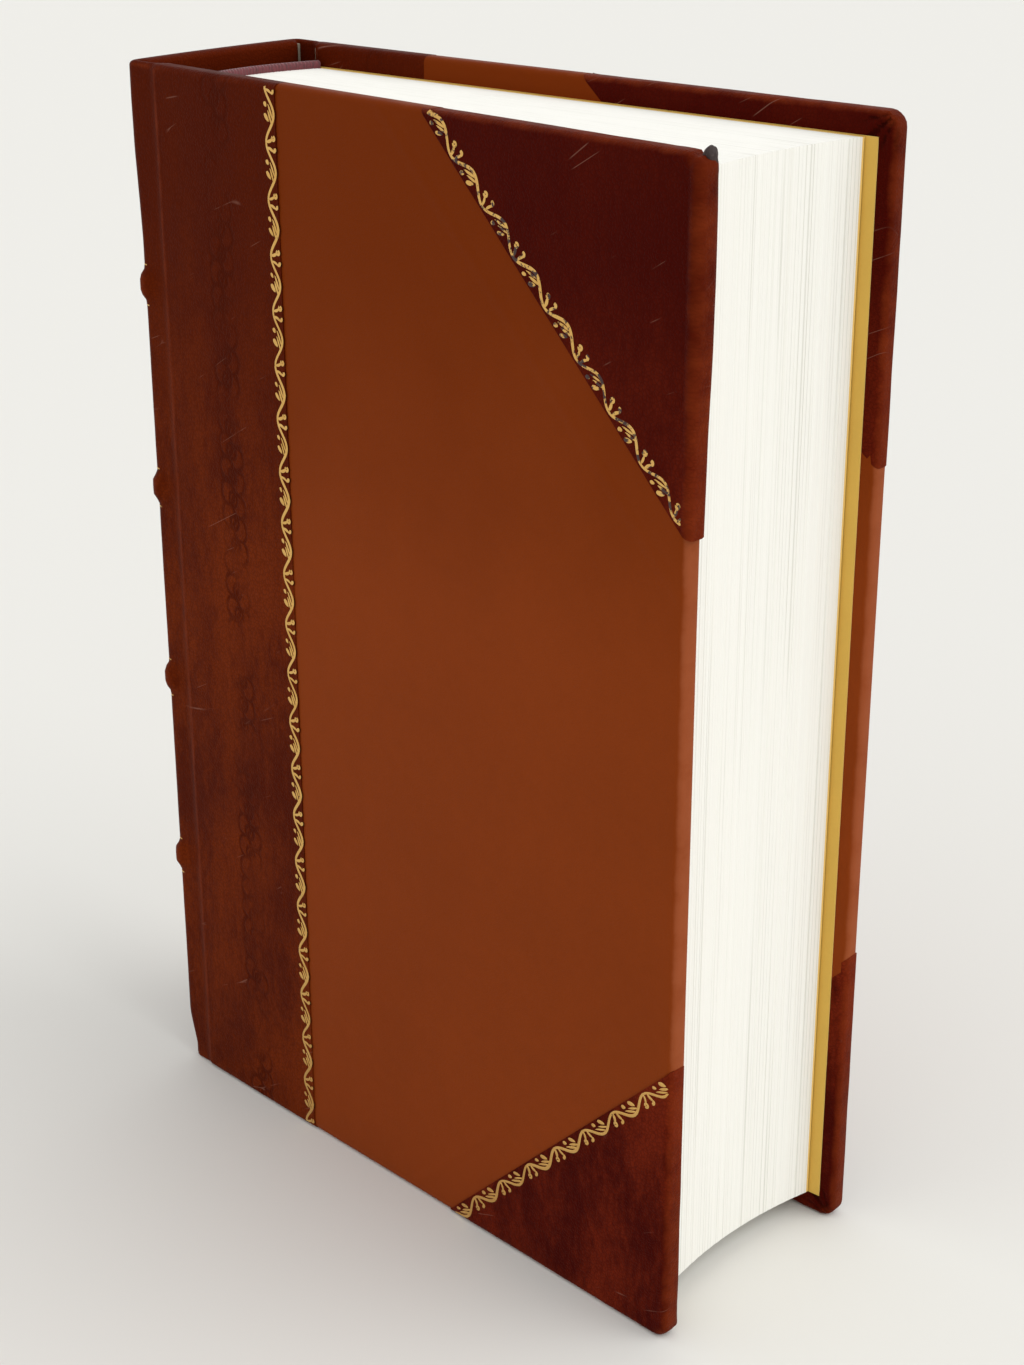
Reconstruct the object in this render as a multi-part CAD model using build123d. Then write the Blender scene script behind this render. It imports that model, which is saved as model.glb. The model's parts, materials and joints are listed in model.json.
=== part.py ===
from build123d import *
import math
import os

# Half-leather book, standing upright on its tail.
# +Z runs from tail to head, +X from the spine to the fore-edge, +Y from the front cover to
# the back cover. The origin is the middle of the whole book's footprint, on its tail.
# A cover is built flat in its own frame: s from the hinge line to the fore-edge, n inward
# from the outer face of the leather, and z up. It is then swung out by its splay.

# ---- Driving dimensions, in millimetres and degrees ----

# Whole book
cover_height = 230.0
cover_width = 143.0
hinge_spacing = 47.3          # between the two hinge lines, outer face to outer face
splay = 2.5                   # each cover stands this far out of parallel

# Sheet stock
board_thick = 3.2
leather_thick = 0.8
side_thick = 0.5
turn_in_thick = 0.5           # covering is pared to this where it is turned in
turn_in_width = 15.0
paper_thick = 0.2
leaf_thick = 0.6              # flyleaf, made of several leaves pasted together

# Outline of the covering on the boards
front_flap_width = 37.6       # spine leather carried onto the front board
back_flap_width = 31.5
front_head_legs = (65.0, 65.0)    # corner leather: along the end, along the fore-edge
front_tail_legs = (61.5, 61.0)
back_head_legs = (73.0, 65.0)
back_tail_legs = (63.0, 62.5)
leather_edge_round = 1.3
side_edge_round = 1.0
board_edge_round = 0.6
corner_round = 3.0            # outline of the cover at its two fore-edge corners

# Text block
head_square = 4.75            # the boards stand this far past the pages at head and tail
fore_edge_square = 6.0        # and this far past them at the fore-edge
block_start = 0.6             # from the hinge line to the back of the outer pages
fore_edge_hollow = 2.8
back_round = 1.6
paste_margin = 3.3            # turn-in left bare along the fore-edge
paste_end_margin = 4.6        # and at head and tail
paste_start = 1.0

# Spine
spine_depth = 9.0             # from the hinge line to the corner of the spine
spine_crown = 0.8
shoulder_inset = 0.8
shoulder_round = 2.2
stiffener_thick = 2.0
stiffener_side_gap = 0.2
stiffener_tail_gap = 12.0     # leather alone below this, so that it draws in at the tail
spine_lift = 0.5              # the spine ends this far above the tails of the boards
lining_thick = 0.4
lining_end_gap = 12.0
band_count = 4
band_tail_space = 52.5        # from the tail of the book to the middle of the lowest band
band_head_space = 45.5        # from the head of the book to the middle of the highest band
band_core_width = 4.6
band_core_proud = 1.2
band_end_gap = 0.6
band_swell_width = 7.6
band_reach = 3.5              # from the hinge line to the end of a band's swelling
headband_deep = 2.0
headband_tall = 1.7
headband_tape = 10.0
headband_round = 0.8

# Clearances
hinge_gap = 0.3               # spine leather to cover leather at the hinge line
hinge_drop = 0.35             # the joint starts this far below the face of the board
cover_gap = 0.2               # pastedown to flyleaf

# ---- Worked-out sizes ----

board_inner = leather_thick + board_thick
shell_inner = board_inner + turn_in_thick
paste_inner = shell_inner + paper_thick
leaf_outer = paste_inner + cover_gap
block_outer = leaf_outer + leaf_thick
side_level = leather_thick - side_thick
page_width = cover_width - fore_edge_square
block_tail = head_square
block_head = cover_height - head_square
band_pitch = (cover_height - band_tail_space - band_head_space) / (band_count - 1)
band_levels = [band_tail_space + band_pitch * index for index in range(band_count)]
stiffener_inner = leather_thick + stiffener_thick
turn_in_inner = stiffener_inner + turn_in_thick

spread_x = math.cos(math.radians(splay))
spread_y = math.sin(math.radians(splay))
x_max = cover_width * spread_x + (shell_inner - leather_edge_round) * spread_y
x_min = -(spine_depth + spine_crown + band_core_proud)
origin = Vector((x_min + x_max) / 2, hinge_spacing / 2, 0)


def front_point(s, n):
    """Plan position of a point of the front cover's frame."""
    return (s * spread_x + n * spread_y, n * spread_x - s * spread_y)


def back_point(s, n):
    """Plan position of a point of the back cover's frame."""
    x, y = front_point(s, n)
    return (x, hinge_spacing - y)


def slab(s_low, s_high, n_low, n_high, z_low, z_high):
    """Upright rectangular block between the given corners."""
    size = (s_high - s_low, n_high - n_low, z_high - z_low)
    middle = ((s_low + s_high) / 2, (n_low + n_high) / 2, (z_low + z_high) / 2)
    return Pos(*middle) * Box(*size)


def upright(outline, z_low, z_high):
    """Raise a flat outline drawn in plan from one height to another."""
    return Pos(0, 0, z_low) * extrude(outline, z_high - z_low)


def save(solid, name):
    """Move a piece to the book's own origin and write it."""
    piece = Pos(-origin.X, -origin.Y, 0) * solid
    piece.label = name
    export_step(piece, f"parts/{name}.step")


# ---- Covers ----

def plate(s_low, inset, n_low, n_high, edge_round):
    """Cover-sized plate with round fore-edge corners and soft head, tail and fore-edge edges."""
    body = slab(s_low, cover_width - inset, n_low, n_high, inset, cover_height - inset)
    corners = body.edges().filter_by(Axis.Y).group_by(Axis.X)[-1]
    body = fillet(corners, corner_round - inset)
    flat_faces = body.faces().filter_by(Axis.Y)
    rims = flat_faces.edges().filter_by(lambda edge: edge.center().X > s_low + 0.1)
    return fillet(rims, edge_round)


def board(s_low=0):
    """Stiff board inside one cover."""
    return plate(s_low, leather_thick, leather_thick, board_inner, board_edge_round)


def wrapping(level, edge_round):
    """Covering that wraps three edges of the board, its outer face this far in."""
    window = slab(-1, cover_width - turn_in_width, board_inner - 1, shell_inner + 1,
                  turn_in_width, cover_height - turn_in_width)
    return plate(0, level, level, shell_inner, edge_round) - board(-1) - window


def region(corners):
    """Prism through the cover over an outline given in s and z."""
    outline = make_face(Polyline([(s, 0, z) for s, z in corners], close=True))
    return extrude(outline, shell_inner + 2, both=True)


def corner_region(legs, at_head):
    """Triangle of corner leather, given its legs along the end and the fore-edge."""
    end_leg, fore_leg = legs
    past = turn_in_width
    far_s = cover_width + past
    slope = fore_leg / end_leg
    reach = fore_leg + past * slope
    corners = [(cover_width - end_leg - past / slope, -past), (far_s, -past), (far_s, reach)]
    if at_head:
        corners = [(s, cover_height - z) for s, z in corners]
    return region(corners)


def pastedown():
    """Endpaper leaf pasted inside the cover, stepping down off the turn-ins."""
    s_high = cover_width - paste_margin
    z_low, z_high = paste_end_margin, cover_height - paste_end_margin
    inner_s = cover_width - turn_in_width
    inner_low, inner_high = turn_in_width, cover_height - turn_in_width
    over_turn_ins = slab(paste_start, s_high, shell_inner, paste_inner, z_low, z_high)
    on_board = slab(paste_start, inner_s, board_inner, paste_inner, inner_low, inner_high)
    hollow = slab(paste_start - 1, inner_s - paper_thick, board_inner + paper_thick, paste_inner + 1,
                  inner_low + paper_thick, inner_high - paper_thick)
    return over_turn_ins + on_board - hollow


def cover_pieces(flap_width, head_legs, tail_legs):
    """Every piece of one cover, flat in the cover's own frame."""
    leather = wrapping(0, leather_edge_round)
    cloth = wrapping(side_level, side_edge_round)
    past = turn_in_width
    flap = slab(-1, flap_width, -1, shell_inner + 1, -past, cover_height + past)
    head = corner_region(head_legs, True)
    tail = corner_region(tail_legs, False)
    return {
        "board": board(),
        "leather_flap": leather & flap,
        "head_corner": leather & head,
        "tail_corner": leather & tail,
        "side_panel": cloth - flap - head - tail,
        "pastedown": pastedown(),
    }


def on_front(solid):
    """Swing a flat cover piece out to the front of the book."""
    return Rot(0, 0, -splay) * solid


def on_back(solid):
    """Turn a flat cover piece over and swing it out to the back of the book."""
    return Pos(0, hinge_spacing, 0) * Rot(0, 0, splay) * mirror(solid, about=Plane.XZ)


# ---- Text block ----

def back_arc(shift):
    """Rounded back of the pages, moved outward by the given amount."""
    start = back_point(block_start, block_outer)
    end = front_point(block_start, block_outer)
    middle = (-back_round - shift, hinge_spacing / 2)
    return ThreePointArc((start[0] - shift, start[1]), middle, (end[0] - shift, end[1]))


def back_strip(inner_shift, outer_shift):
    """Plan of a layer lying along the back of the pages."""
    inner = back_arc(inner_shift)
    outer = back_arc(outer_shift)
    start = Line(inner @ 0, outer @ 0)
    end = Line(inner @ 1, outer @ 1)
    return make_face([inner, start, outer, end])


def text_block():
    """All the pages, pressed together, with a rounded back and a hollow fore-edge."""
    front_start = front_point(block_start, block_outer)
    front_end = front_point(page_width, block_outer)
    back_end = back_point(page_width, block_outer)
    back_start = back_point(block_start, block_outer)
    fore_middle = (page_width * spread_x - fore_edge_hollow, hinge_spacing / 2)
    outline = make_face([
        Line(front_start, front_end),
        ThreePointArc(front_end, fore_middle, back_end),
        Line(back_end, back_start),
        back_arc(0),
    ])
    return upright(outline, block_tail, block_head)


def flyleaf():
    """Loose half of the endpaper, lying on the pages."""
    return slab(block_start, page_width, leaf_outer, block_outer, block_tail, block_head)


def headband(at_head):
    """Bead on the end of the pages, with its tape glued down their back."""
    bead = extrude(back_strip(-headband_deep, lining_thick), headband_tall)
    bead = fillet(bead.faces().sort_by(Axis.Z)[-1].edges(), headband_round)
    tape = Pos(0, 0, -headband_tape) * extrude(back_strip(0, lining_thick), headband_tape)
    band = bead + tape
    if at_head:
        return Pos(0, 0, block_head) * band
    return Pos(0, 0, block_tail) * mirror(band, about=Plane.XY)


def spine_lining():
    """Open-weave cloth glued to the back of the pages between the headband tapes."""
    end_gap = max(lining_end_gap, headband_tape)
    return upright(back_strip(0, lining_thick), block_tail + end_gap, block_head - end_gap)


# ---- Spine ----

def spine_outline(depth_in, inset, corner_round, start_x, start_y):
    """Plan bounded by the joints and the crowned face of the spine."""
    face_x = depth_in - spine_depth
    low = (face_x, inset)
    high = (face_x, hinge_spacing - inset)
    outline = make_face([
        Line((start_x, start_y), low),
        ThreePointArc(low, (face_x - spine_crown, hinge_spacing / 2), high),
        Line(high, (start_x, hinge_spacing - start_y)),
        Line((start_x, hinge_spacing - start_y), (start_x, start_y)),
    ])
    return fillet(outline.vertices().group_by(Axis.X)[0], corner_round)


def inside_of(depth_in):
    """Everything in plan on the page side of a crowned line this far into the spine."""
    face_x = depth_in - spine_depth
    far = spine_depth
    return make_face([
        ThreePointArc((face_x, 0), (face_x - spine_crown, hinge_spacing / 2), (face_x, hinge_spacing)),
        Line((face_x, hinge_spacing), (far, hinge_spacing)),
        Line((far, hinge_spacing), (far, 0)),
        Line((far, 0), (face_x, 0)),
    ])


def crowned_strip(outer_depth, inner_depth, side_gap):
    """Plan of a layer of the spine between two depths, short of the joints by a gap."""
    width = hinge_spacing - 2 * side_gap
    limits = Pos(0, hinge_spacing / 2) * Rectangle(4 * spine_depth, width)
    return (inside_of(outer_depth) - inside_of(inner_depth)) & limits


leather_outer = spine_outline(0, shoulder_inset, shoulder_round, -hinge_gap, hinge_drop)
leather_inner = spine_outline(leather_thick, shoulder_inset + leather_thick,
                              shoulder_round - leather_thick, -hinge_gap, hinge_drop + leather_thick)
stiffener_gap = shoulder_inset + leather_thick + stiffener_side_gap


def stiffener():
    """Board strip that keeps the spine flat."""
    plan = crowned_strip(leather_thick, stiffener_inner, stiffener_gap) & leather_inner
    return upright(plan, spine_lift + stiffener_tail_gap, cover_height - leather_thick)


def raised_band(level):
    """Strip glued across the stiffener under the leather."""
    plan = crowned_strip(leather_thick - band_core_proud, leather_thick, shoulder_round + band_end_gap)
    core = Pos(0, 0, level - band_core_width / 2) * extrude(plan, band_core_width)
    outer_edges = core.faces().sort_by(Axis.X)[0].edges().filter_by(Plane.XY)
    return fillet(outer_edges, band_core_proud * 0.8)


def band_swelling(level):
    """Leather drawn over one raised band."""
    start_y = hinge_drop + (shoulder_inset - hinge_drop) * band_reach / spine_depth
    plan = spine_outline(-band_core_proud, shoulder_inset - hinge_drop, shoulder_round + band_core_proud,
                         -band_reach, start_y + leather_thick / 2)
    swell = Pos(0, 0, level - band_swell_width / 2) * extrude(plan, band_swell_width)
    end_faces = swell.faces().filter_by(Axis.Z)
    outer_edges = end_faces.edges().filter_by(lambda edge: edge.center().X < -band_reach - 0.1)
    swell = fillet(outer_edges, band_core_proud)
    return swell - upright(leather_inner, level - band_swell_width, level + band_swell_width)


def spine_leather():
    """Leather over the spine and joints, turned in at head and tail."""
    top = cover_height
    shell = upright(leather_outer - leather_inner, spine_lift, top)
    cap = (leather_outer - inside_of(turn_in_inner)) + (leather_outer - leather_inner)
    flange = crowned_strip(stiffener_inner, turn_in_inner, stiffener_gap) & leather_inner
    ends = [
        upright(cap, spine_lift, spine_lift + leather_thick),
        upright(cap, top - leather_thick, top),
        upright(flange, spine_lift, spine_lift + turn_in_width),
        upright(flange, top - turn_in_width, top),
    ]
    leather = shell + ends
    for level in band_levels:
        leather = leather + band_swelling(level) - raised_band(level)
    return leather


# ---- Build ----

os.makedirs("parts", exist_ok=True)

front = cover_pieces(front_flap_width, front_head_legs, front_tail_legs)
for part, solid in front.items():
    save(on_front(solid), f"front_{part}")

back = cover_pieces(back_flap_width, back_head_legs, back_tail_legs)
for part, solid in back.items():
    save(on_back(solid), f"back_{part}")

save(text_block(), "text_block")
save(on_front(flyleaf()), "front_flyleaf")
save(on_back(flyleaf()), "back_flyleaf")
save(headband(True), "headband")
save(headband(False), "tailband")
save(spine_lining(), "spine_lining")
save(stiffener(), "spine_stiffener")
for number, level in enumerate(band_levels, start=1):
    save(raised_band(level), f"raised_band_{number}")
save(spine_leather(), "spine_leather")

rest_x, rest_y = front_point(cover_width - front_tail_legs[0] / 2, shell_inner / 2)
print("front hinge line", round(-origin.X, 4), round(-origin.Y, 4))
print("back hinge line", round(-origin.X, 4), round(hinge_spacing - origin.Y, 4))
print("tail rest", round(rest_x - origin.X, 4), round(rest_y - origin.Y, 4))
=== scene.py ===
import json
import math
import random

import bmesh
import bpy
from mathutils import Matrix, Vector, noise


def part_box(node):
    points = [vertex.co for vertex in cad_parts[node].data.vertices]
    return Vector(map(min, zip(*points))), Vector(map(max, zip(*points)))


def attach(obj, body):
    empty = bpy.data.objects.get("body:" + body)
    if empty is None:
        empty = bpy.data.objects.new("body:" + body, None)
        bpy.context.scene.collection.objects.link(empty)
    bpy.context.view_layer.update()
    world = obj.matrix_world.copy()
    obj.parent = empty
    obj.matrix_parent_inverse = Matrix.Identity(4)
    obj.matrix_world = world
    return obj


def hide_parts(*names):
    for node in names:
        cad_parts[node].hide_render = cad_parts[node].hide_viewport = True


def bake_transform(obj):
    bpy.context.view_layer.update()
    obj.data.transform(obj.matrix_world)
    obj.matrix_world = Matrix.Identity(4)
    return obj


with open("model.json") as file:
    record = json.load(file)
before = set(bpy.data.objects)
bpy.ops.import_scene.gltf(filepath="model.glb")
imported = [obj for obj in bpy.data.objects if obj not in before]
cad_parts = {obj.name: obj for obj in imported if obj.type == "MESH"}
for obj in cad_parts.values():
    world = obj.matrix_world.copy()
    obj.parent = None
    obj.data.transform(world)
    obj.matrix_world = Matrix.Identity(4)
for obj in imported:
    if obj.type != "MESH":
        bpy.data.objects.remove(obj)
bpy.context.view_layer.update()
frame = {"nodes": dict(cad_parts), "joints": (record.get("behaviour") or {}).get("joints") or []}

bl_info = {
    "name": "Half-leather Book",
    "version": (1, 0, 0),
    "blender": (4, 5, 0),
    "location": "3D View > Sidebar > Book",
    "description": "Leather, gold tooling, pages and endpapers for a half-leather book",
    "category": "Object",
}

MM = 0.001
SIDES = ("front", "back")
INWARD = {"front": 1, "back": -1}
BODY = {"front": "front_cover", "back": "back_cover"}
HINGE = {side: Vector(joint["pos_m"]) for side in SIDES for joint in frame["joints"]
         if joint["name"] == side + "_cover_hinge"}
HALF_SPACING = HINGE["back"].y
COVER_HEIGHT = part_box("front_leather_flap")[1].z
BLOCK_LOW, BLOCK_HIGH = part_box("text_block")
BANDS = [f"raised_band_{number}" for number in (1, 2, 3, 4)]
BAND_LEVELS = [sum((corner.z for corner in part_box(band)), 0) / 2 for band in BANDS]

BEND_START = -6.3 * MM  # from the hinge line: start of the stretch where the spine leather runs onto a cover,
BEND_END = 0.2 * MM     # and its end, where the leather lies fast on the board
FLAP_START = 1.2 * MM   # from the hinge line: where the leather lies flat along the board
SAME = 1e-6             # metres within which two places count as one
WAXED_IOR = 1.25        # weak reflection of waxed leather
LEAVES = 330            # leaves in the page block
ENDPAPER_THICK = 0.12 * MM


# ---- Sizes and colours that a user would change ----

def length(name, value, description):
    """Length property in metres, given in millimetres."""
    return bpy.props.FloatProperty(name=name, description=description, default=value * MM,
                                   min=0, unit="LENGTH", precision=5)


def colour(name, red, green, blue, description):
    """Colour property, given as linear values."""
    return bpy.props.FloatVectorProperty(name=name, description=description, subtype="COLOR", size=4,
                                         min=0, max=1, default=(red, green, blue, 1))


class BookSizes(bpy.types.PropertyGroup):
    """Sizes of the covering, the tooling and the pages."""
    splay: bpy.props.FloatProperty(name="Splay", description="How far each cover stands out of parallel",
                                   default=math.radians(2.5), subtype="ANGLE")
    width: length("Cover width", 143.0, "From the hinge line to the fore-edge")
    thick: length("Cover thickness", 4.5, "From the outer leather to the turned-in leather")
    edge_round: length("Edge round", 1.3, "Softness of the covered board edges")
    corner_round: length("Corner round", 3.0, "Outline of the fore-edge corners")
    turn_in: length("Turn-in", 15.0, "Width of the covering turned in over the board edges")
    leather: length("Leather", 0.6, "Thickness of the leather where its edge shows")
    side_step: length("Side step", 0.3, "How far the side panel lies below the leather")
    front_flap: length("Front flap", 37.6, "Spine leather on the front board")
    back_flap: length("Back flap", 31.5, "Spine leather on the back board")
    spine_depth: length("Spine depth", 9.0, "From the hinge line to the face of the spine")
    spine_crown: length("Spine crown", 0.8, "Rise of the middle of the spine")
    shoulder_inset: length("Shoulder inset", 0.8, "Spine corner below the face of the cover")
    shoulder_round: length("Shoulder round", 2.2, "Radius of the spine corner")
    spine_wrap: length("Spine wrap", 3.3, "Thickness of the turned-in spine at head and tail")
    band_height: length("Band height", 1.15, "How far a raised band stands out")
    band_width: length("Band width", 7.6, "Height of a raised band's swelling")
    vine_pitch: length("Vine pitch", 10.9, "Length of one repeat of the gold vine")
    vine_half: length("Vine half width", 1.25, "Half the width of the vine's stem wave")
    vine_inset: length("Vine inset", 1.9, "From the leather edge to the middle of the vine")
    stroke: bpy.props.FloatProperty(name="Gold weight", description="Boldness of the gold strokes",
                                    default=1.75, min=0.5, max=3)
    proud: length("Proud corner", 1.6, "How far the folded leather of the front head corner stands out")
    blind_place: length("Blind roll place", 19.0, "From the hinge line to the middle of the blind roll")
    hollow: length("Fore-edge hollow", 2.8, "Depth of the hollow fore-edge")


class BookColours(bpy.types.PropertyGroup):
    """Colours of the leather, cloth, gold and paper."""
    # The dark leather tones give patches of stain and also the painted shade towards the head.
    leather: colour("Leather", 0.165, 0.024, 0.0038, "Red-brown of the spine leather")
    leather_dark: colour("Dark leather", 0.078, 0.0075, 0.0010, "Stained patches of the spine leather")
    corner: colour("Corner leather", 0.160, 0.0165, 0.0050, "Dark red-brown of the corners")
    corner_dark: colour("Dark corner leather", 0.056, 0.0030, 0.0015, "Stained patches of the corners")
    rubbed: colour("Rubbed leather", 0.20, 0.030, 0.007, "Where handling has worn the leather")
    side: colour("Side panel", 0.240, 0.043, 0.0075, "Plain brown of the side panels")
    # Painted shade towards the head of the side panels.
    side_painted_shade: colour("Side panel shade", 0.150, 0.022, 0.0015,
                      "Side panels where the light has darkened them")
    gold: colour("Gold", 0.78, 0.50, 0.17, "Gold leaf")
    pages: colour("Pages", 0.94, 0.93, 0.87, "Cut edges of the pages")
    page_line: colour("Page lines", 0.70, 0.69, 0.62, "Shadow between the pages")
    endpaper: colour("Endpaper", 0.77, 0.48, 0.092, "Mustard endpapers")
    endpaper_edge: colour("Endpaper edge", 0.93, 0.66, 0.205, "Cut edge of the endpapers")
    headband: colour("Headband", 0.17, 0.018, 0.026, "Maroon headband silk")
    board: colour("Board", 0.32, 0.27, 0.20, "Grey millboard")
    lining: colour("Lining", 0.68, 0.64, 0.52, "Cotton lining")
    floor: colour("Floor", 0.79, 0.78, 0.74, "Pale table top")


def sizes():
    """Sizes that the user has set."""
    return bpy.context.scene.book_sizes


def colours():
    """Colours that the user has set."""
    return bpy.context.scene.book_colours


def darker(tone, share):
    """Tone with that share of its brightness."""
    return [part * share for part in tone[:3]] + [1]


def flap_width(side):
    """Width of the spine leather on one board."""
    return sizes().front_flap if side == "front" else sizes().back_flap


def corner_legs(side, end):
    """Legs of a leather corner, along the end and along the fore-edge, as the frame has them."""
    low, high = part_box(f"{side}_{end}_corner")
    return (high.x - low.x) / math.cos(sizes().splay), high.z - low.z


# ---- Places ----

def end_level(end):
    """Height of the head or the tail."""
    return COVER_HEIGHT if end == "head" else 0.0


def on_cover(side, point):
    """Place in the book of a point (s, n, z) of a cover: s to the fore-edge, n inward."""
    s, n, z = point
    angle = sizes().splay
    across = n * math.cos(angle) - s * math.sin(angle)
    along = s * math.cos(angle) + n * math.sin(angle)
    return Vector((HINGE[side].x + along, HINGE[side].y + INWARD[side] * across, z))


def beside_hinge(side, point):
    """Place in the book of a point given from the hinge line, before any splay."""
    x, depth, z = point
    return Vector((HINGE[side].x + x, HINGE[side].y + INWARD[side] * depth, z))


def smooth(value, low, high):
    """Smooth step from 0 at low to 1 at high."""
    share = min(max((value - low) / (high - low), 0), 1)
    return share * share * (3 - 2 * share)


def wobble(point, size, seed=0.0):
    """Smooth unevenness between -1 and 1 with patches of the given size."""
    return noise.noise(Vector(point) / size + Vector((seed, 2 * seed, 3 * seed)))


# ---- Meshes ----

def set_attribute(mesh, name, values, kind="FLOAT"):
    """Store one value or vector for each vertex."""
    attribute = mesh.attributes.new(name, kind, "POINT")
    if kind == "FLOAT":
        attribute.data.foreach_set("value", values)
    else:
        attribute.data.foreach_set("vector", [part for vector in values for part in vector])


def add_piece(name, mesh, material, body=None):
    """Link a finished mesh as a piece of the book."""
    mesh.name = name
    mesh.materials.append(material)
    mesh.shade_smooth()
    mesh.set_sharp_from_angle(angle=math.radians(50))
    piece = bpy.data.objects.new(name, mesh)
    bpy.context.scene.collection.objects.link(piece)
    if body:
        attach(piece, body)
    return piece


def thickened(mesh, thickness):
    """Copy of an open sheet, given thickness on its inner side."""
    sheet = bpy.data.objects.new("sheet", mesh)
    bpy.context.scene.collection.objects.link(sheet)
    solidify = sheet.modifiers.new("thickness", "SOLIDIFY")
    solidify.thickness = thickness
    solidify.offset = -1
    bpy.context.view_layer.update()
    graph = bpy.context.evaluated_depsgraph_get()
    solid = bpy.data.meshes.new_from_object(sheet.evaluated_get(graph))
    bpy.data.objects.remove(sheet)
    return solid


def grid_mesh(columns, closed_rows=False):
    """Mesh of quads over equal columns of points."""
    rows = len(columns[0])
    points = [point for column in columns for point in column]
    last = rows if closed_rows else rows - 1
    faces = []
    for i in range(len(columns) - 1):
        for j in range(last):
            k = (j + 1) % rows
            faces.append((i * rows + j, (i + 1) * rows + j, (i + 1) * rows + k, i * rows + k))
    mesh = bpy.data.meshes.new("grid")
    mesh.from_pydata(points, [], faces)
    return mesh


def closed_tube(columns):
    """Closed mesh from rings of points: a skin over the rings and a face at each end."""
    mesh = grid_mesh(columns, closed_rows=True)
    bm = bmesh.new()
    bm.from_mesh(mesh)
    rows = len(columns[0])
    last = (len(columns) - 1) * rows
    bm.verts.ensure_lookup_table()
    bm.faces.new([bm.verts[index] for index in range(rows)])
    bm.faces.new([bm.verts[last + index] for index in reversed(range(rows))])
    bmesh.ops.recalc_face_normals(bm, faces=bm.faces[:])
    bm.to_mesh(mesh)
    bm.free()
    return mesh


# ---- Shader helpers ----

class Wiring:
    """Short ways to add and join the nodes of one tree."""

    def __init__(self, tree):
        self.tree = tree

    def add(self, kind, inputs=None, **settings):
        node = self.tree.nodes.new(kind)
        for key, value in settings.items():
            setattr(node, key, value)
        for key, value in (inputs or {}).items():
            self.feed(node.inputs[key], value)
        return node

    def feed(self, socket, value):
        if isinstance(value, bpy.types.NodeSocket):
            self.tree.links.new(value, socket)
        else:
            socket.default_value = value

    def math(self, operation, *values):
        node = self.add("ShaderNodeMath", operation=operation)
        for index, value in enumerate(values):
            self.feed(node.inputs[index], value)
        return node.outputs[0]

    def ramp(self, value, low, high, to_low=0.0, to_high=1.0):
        node = self.add("ShaderNodeMapRange", interpolation_type="SMOOTHSTEP", inputs={
            "Value": value, "From Min": low, "From Max": high, "To Min": to_low, "To Max": to_high})
        return node.outputs["Result"]

    def blend(self, factor, first, second):
        node = self.add("ShaderNodeMix", data_type="RGBA")
        self.feed(node.inputs["Factor"], factor)
        self.feed(node.inputs[6], first)
        self.feed(node.inputs[7], second)
        return node.outputs[2]

    def noise(self, vector, size, detail=3.0, roughness=0.5):
        return self.add("ShaderNodeTexNoise", inputs={
            "Vector": vector, "Scale": 1 / size, "Detail": detail, "Roughness": roughness}).outputs["Fac"]

    def stretched(self, vector, x, y, z):
        return self.add("ShaderNodeVectorMath", operation="MULTIPLY",
                        inputs={0: vector, 1: (x, y, z)}).outputs[0]

    def use(self, group, **values):
        node = self.add("ShaderNodeGroup", node_tree=group)
        for key, value in values.items():
            self.feed(node.inputs[key.replace("_", " ")], value)
        return node.outputs


def new_group(name, inputs, outputs):
    """Empty shader node group with named sockets. Returns its tree, wiring, inputs and output node."""
    tree = bpy.data.node_groups.new(name, "ShaderNodeTree")
    for label, kind, default in inputs:
        socket = tree.interface.new_socket(label, in_out="INPUT", socket_type="NodeSocket" + kind)
        if default is not None:
            socket.default_value = default
    for label, kind in outputs:
        tree.interface.new_socket(label, in_out="OUTPUT", socket_type="NodeSocket" + kind)
    wiring = Wiring(tree)
    source = wiring.add("NodeGroupInput").outputs
    target = wiring.add("NodeGroupOutput").inputs
    return tree, wiring, source, target


def mottle_group():
    """Two tones in soft patches, with finer flecks."""
    tree, w, given, result = new_group("Mottle", [
        ("Vector", "Vector", None), ("Size", "Float", 0.03), ("Light", "Color", None),
        ("Dark", "Color", None), ("Contrast", "Float", 1.0)], [("Color", "Color"), ("Mask", "Float")])
    scale = w.math("DIVIDE", 1.0, given["Size"])
    broad = w.add("ShaderNodeTexNoise", inputs={
        "Vector": given["Vector"], "Scale": scale, "Detail": 4.0, "Roughness": 0.6}).outputs["Fac"]
    fleck_scale = w.math("MULTIPLY", scale, 14.0)
    fleck = w.add("ShaderNodeTexNoise", inputs={
        "Vector": given["Vector"], "Scale": fleck_scale, "Detail": 3.0, "Roughness": 0.65}).outputs["Fac"]
    both = w.math("ADD", w.math("MULTIPLY", broad, 0.72), w.math("MULTIPLY", fleck, 0.28))
    centred = w.math("MULTIPLY", w.math("SUBTRACT", both, 0.5), given["Contrast"])
    mask = w.ramp(w.math("ADD", centred, 0.5), 0.36, 0.64)
    w.feed(result["Color"], w.blend(mask, given["Dark"], given["Light"]))
    w.feed(result["Mask"], mask)
    return tree


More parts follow.
